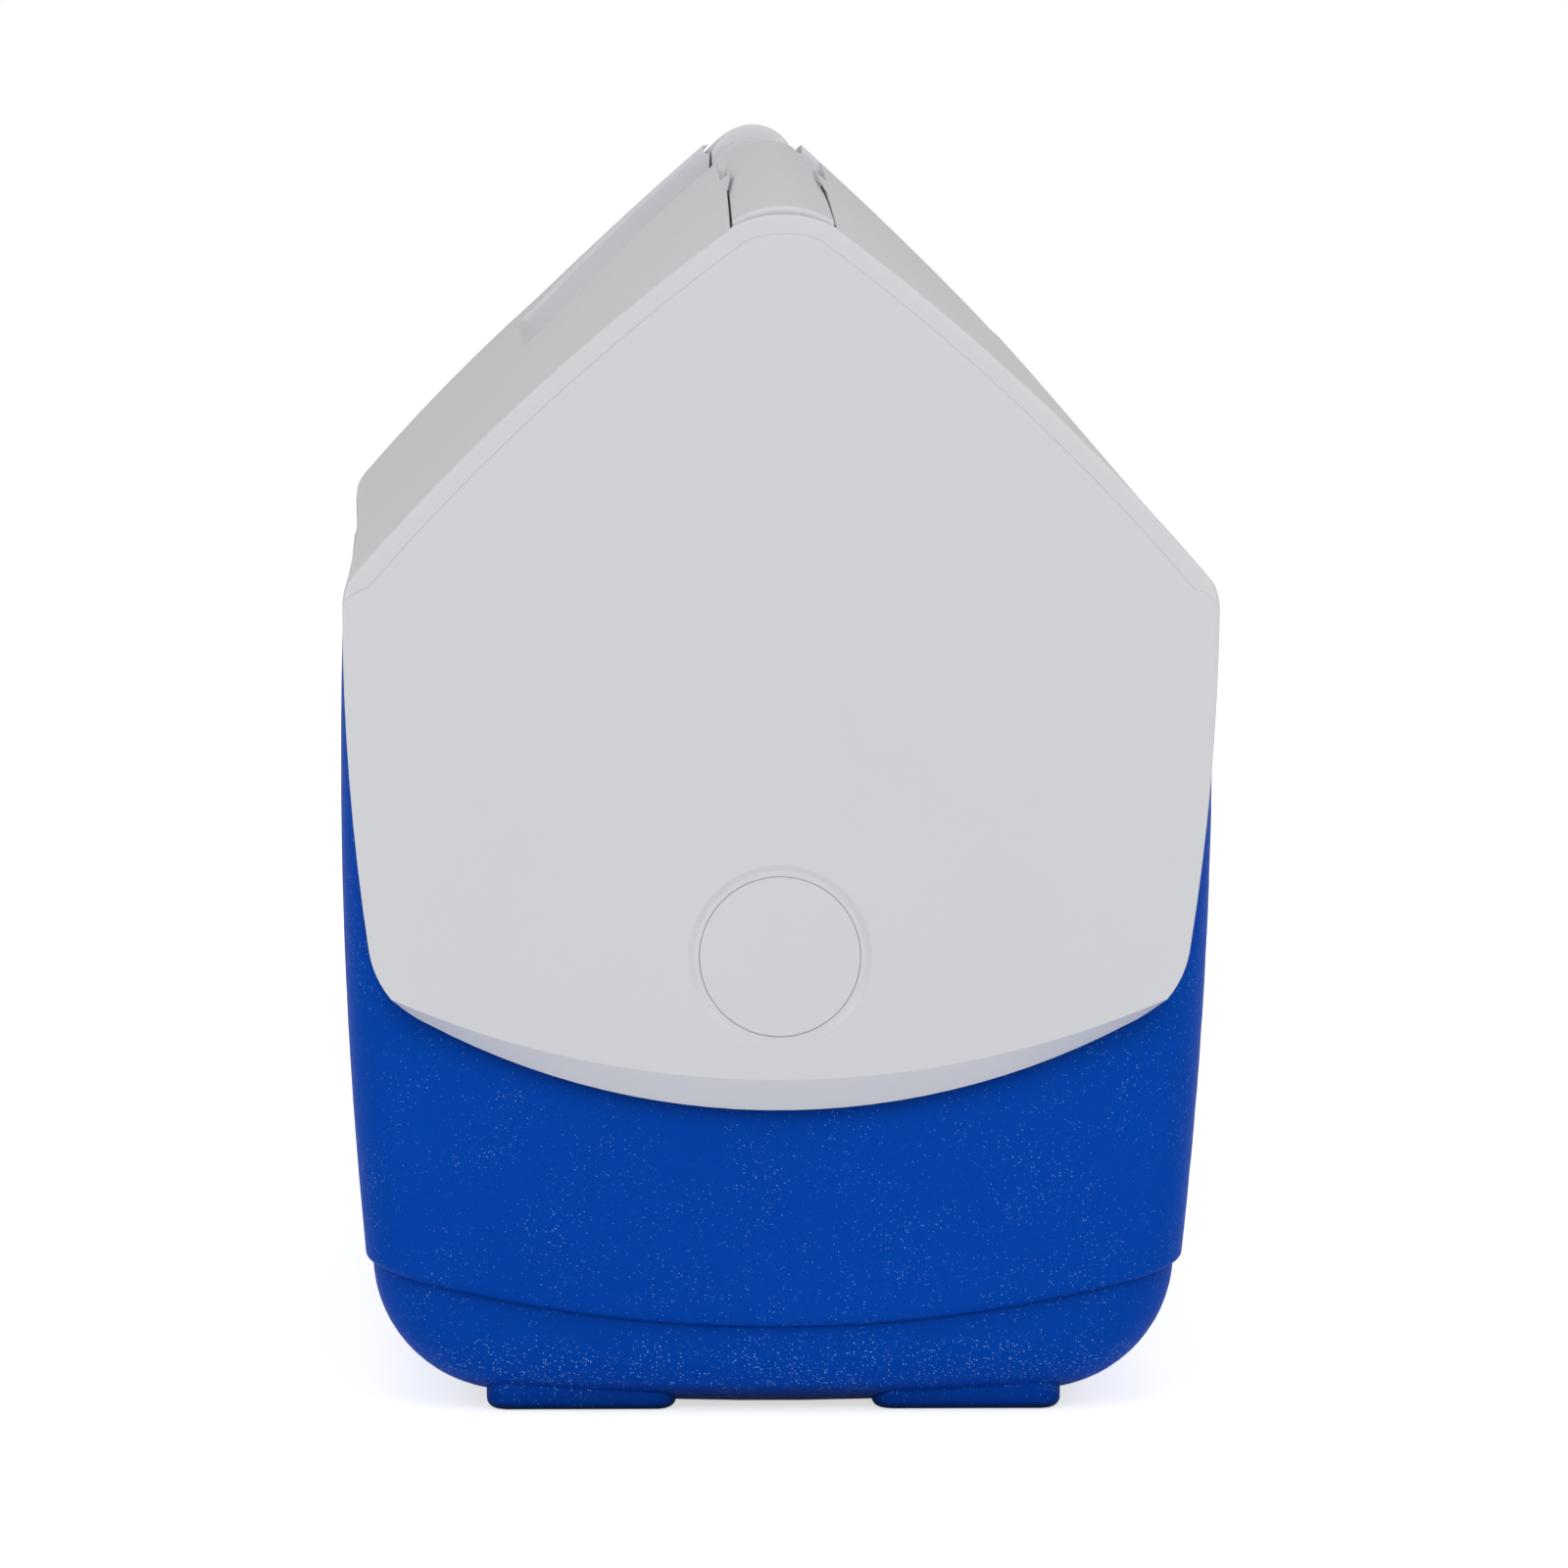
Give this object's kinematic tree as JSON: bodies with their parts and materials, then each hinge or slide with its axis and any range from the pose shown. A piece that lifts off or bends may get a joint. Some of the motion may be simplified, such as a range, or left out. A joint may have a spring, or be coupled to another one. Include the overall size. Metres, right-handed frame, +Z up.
{
  "type": "tent-top cooler chest",
  "caption": "Insulated cooler chest with a tent-top lid that swings to either side about end hubs, ridge carry handle and a round push-button release.",
  "frame": {"origin": "on the floor under the middle of the chest, lid closed", "axes": "+Z up, +Y along the length away from the push button, +X across the width"},
  "size_m": [0.2528, 0.372, 0.3662],
  "materials": {
    "blue_plastic": "matte",
    "white_plastic": "satin",
    "liner_plastic": "satin",
    "hub_plastic": "satin",
    "foam": "matte",
    "steel": "satin"
  },
  "bodies": {
    "chest": {"body_shell": "blue_plastic", "body_foam": "foam", "body_liner": "liner_plastic", "front_hub": "hub_plastic", "rear_hub": "hub_plastic", "front_hub_plug": "hub_plastic", "hub_screws": "steel", "return_spring": "steel"},
    "lid": {"lid_roof": "white_plastic", "front_panel": "white_plastic", "rear_panel": "white_plastic", "lid_liner": "liner_plastic", "lid_foam": "foam", "handle_bar": "white_plastic", "handle_cover": "white_plastic", "handle_screws": "steel", "panel_screws": "steel", "rear_pivot_cap": "white_plastic"},
    "button": {"push_button": "white_plastic", "lock_collar": "hub_plastic", "collar_screw": "steel"}
  },
  "joints": [
    {"name": "lid_swing", "type": "hinge", "parent": "chest", "child": "lid", "pos_m": [0, 0, 0.137], "axis": [0, 1, 0], "range_deg": [-76, 76]},
    {"name": "button_press", "type": "slide", "parent": "lid", "child": "button", "axis": [0, 1, 0], "range_m": [0, 0.004], "stiffness_N_per_m": 1200, "springref_m": -0.003, "deforming": ["return_spring"]}
  ]
}
